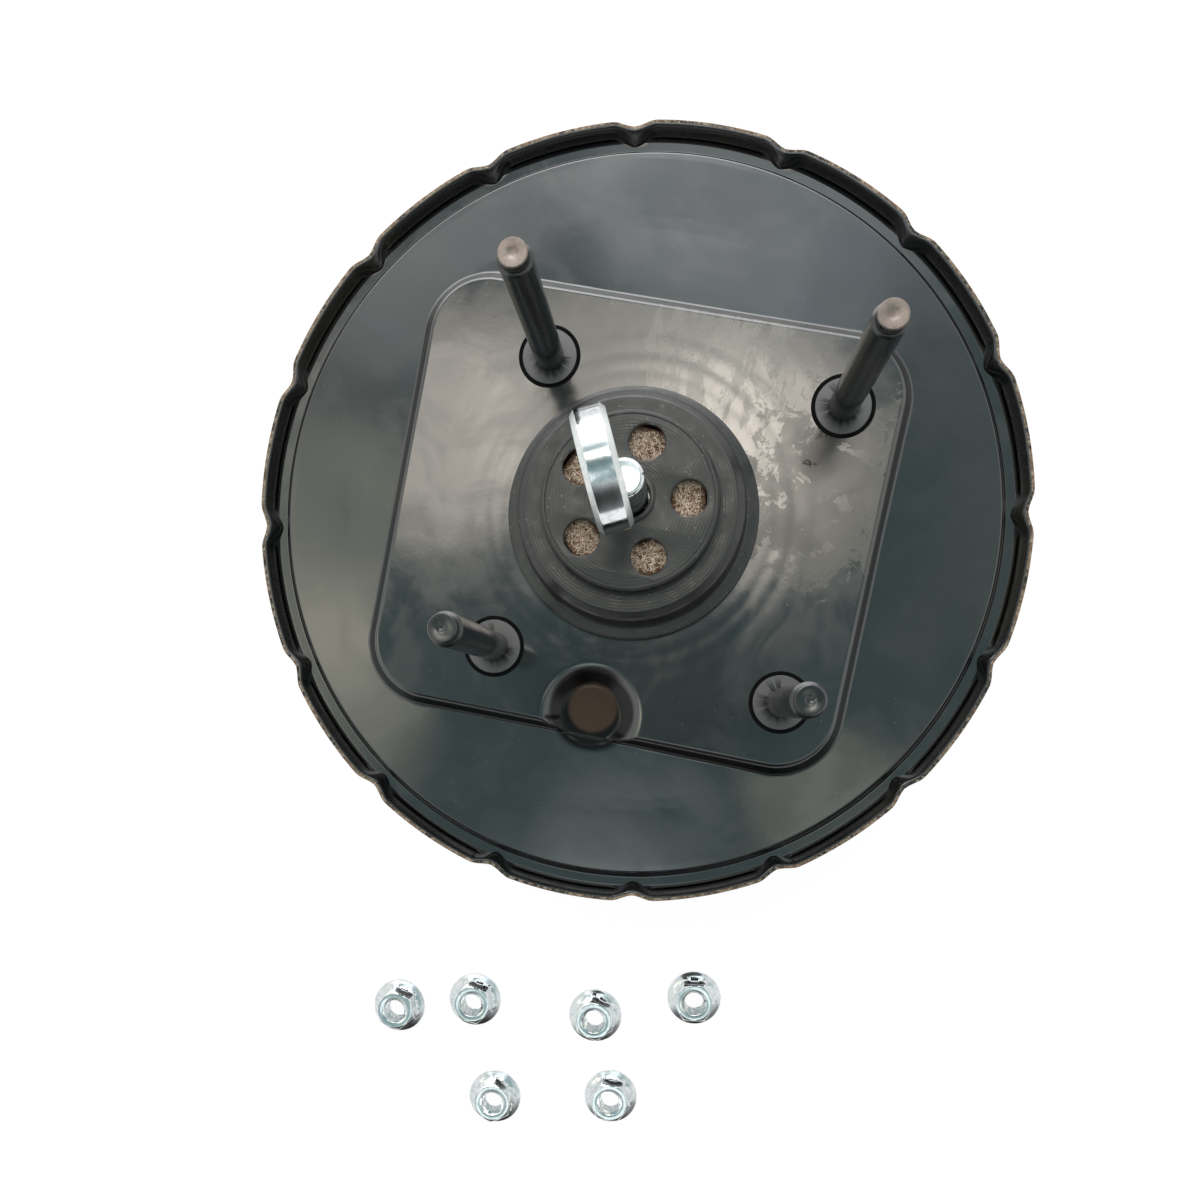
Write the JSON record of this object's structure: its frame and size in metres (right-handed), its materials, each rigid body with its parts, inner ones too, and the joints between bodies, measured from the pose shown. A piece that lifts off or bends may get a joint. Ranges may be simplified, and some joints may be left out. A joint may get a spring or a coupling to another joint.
{
  "type": "vacuum brake booster",
  "caption": "Crimped round pressed-steel vacuum brake booster lying with its pedal side up, with studs, dust boot, push rod eye and loose flange nuts.",
  "frame": {"origin": "on the hub axis, in the mounting face of the pad", "axes": "+Z along the hub axis towards the pedal, +X and +Y along the sides of the square mounting stud pattern"},
  "size_m": [0.214, 0.3178, 0.1483],
  "materials": {
    "black_paint": "gloss black dip paint over pressed steel",
    "sheet_steel": "bare pressed steel",
    "black_stud": "black painted steel thread, bare at two ends",
    "zinc": "bright zinc plating",
    "zinc_nut": "bright zinc plating",
    "seal_rubber": "moulded black rubber",
    "boot_rubber": "matte moulded black rubber",
    "valve_plastic": "moulded glass-filled plastic",
    "white_plastic": "natural moulded plastic",
    "spring_steel": "drawn spring wire",
    "foam": "open-cell foam",
    "felt": "pressed tan fibre"
  },
  "bodies": {
    "housing": {"front_shell": "black_paint", "rear_shell": "black_paint", "rear_reinforcement": "sheet_steel", "front_reinforcement": "sheet_steel", "mounting_studs": "black_stud", "master_cylinder_studs": "zinc", "neck_seal": "seal_rubber", "neck_bush": "white_plastic", "neck_retainer": "white_plastic", "diaphragm": "seal_rubber", "dust_boot": "boot_rubber", "return_spring": "spring_steel", "check_valve_grommet": "seal_rubber", "check_valve_body": "valve_plastic", "check_valve_cap": "valve_plastic", "check_valve_spring": "spring_steel"},
    "power_piston": {"valve_body": "valve_plastic", "diaphragm_plate": "sheet_steel", "stop_key": "zinc", "reaction_disc": "seal_rubber", "output_rod": "zinc", "adjusting_screw": "zinc", "output_rod_retainer": "sheet_steel", "poppet_valve": "seal_rubber", "poppet_spring": "spring_steel", "poppet_retainer": "sheet_steel", "rod_return_spring": "spring_steel", "filter_retainer": "white_plastic", "foam_silencer": "foam", "felt_filter": "felt"},
    "plunger": {"air_valve": "zinc"},
    "pedal_rod": {"push_rod": "zinc", "rod_spring_seat": "zinc"},
    "vacuum_disc": {"check_valve_disc": "seal_rubber"},
    "nuts": {"flange_nuts": "zinc_nut"}
  },
  "joints": [
    {"name": "booster_stroke", "type": "slide", "parent": "housing", "child": "power_piston", "axis": [0, 0, -1], "range_m": [0, 0.03], "stiffness_N_per_m": 3000, "springref_m": -0.033, "deforming": ["return_spring", "dust_boot", "diaphragm"]},
    {"name": "valve_travel", "type": "slide", "parent": "power_piston", "child": "plunger", "axis": [0, 0, -1], "range_m": [0, 0.0025], "stiffness_N_per_m": 2000, "springref_m": -0.01, "deforming": ["poppet_valve", "poppet_spring", "rod_return_spring"]},
    {"name": "rod_swing", "type": "hinge", "parent": "plunger", "child": "pedal_rod", "pos_m": [0, 0, 0.0056], "axis": [0.9003, 0.4352, 0], "range_deg": [-3, 11]},
    {"name": "disc_lift", "type": "slide", "parent": "housing", "child": "vacuum_disc", "axis": [0, 0, -1], "range_m": [0, 0.0015], "stiffness_N_per_m": 60, "springref_m": -0.002, "deforming": ["check_valve_spring"]},
    {"name": "nut_lift", "type": "slide", "parent": "housing", "child": "nuts", "axis": [0, 0, 1], "range_m": [0, 0.05]}
  ]
}
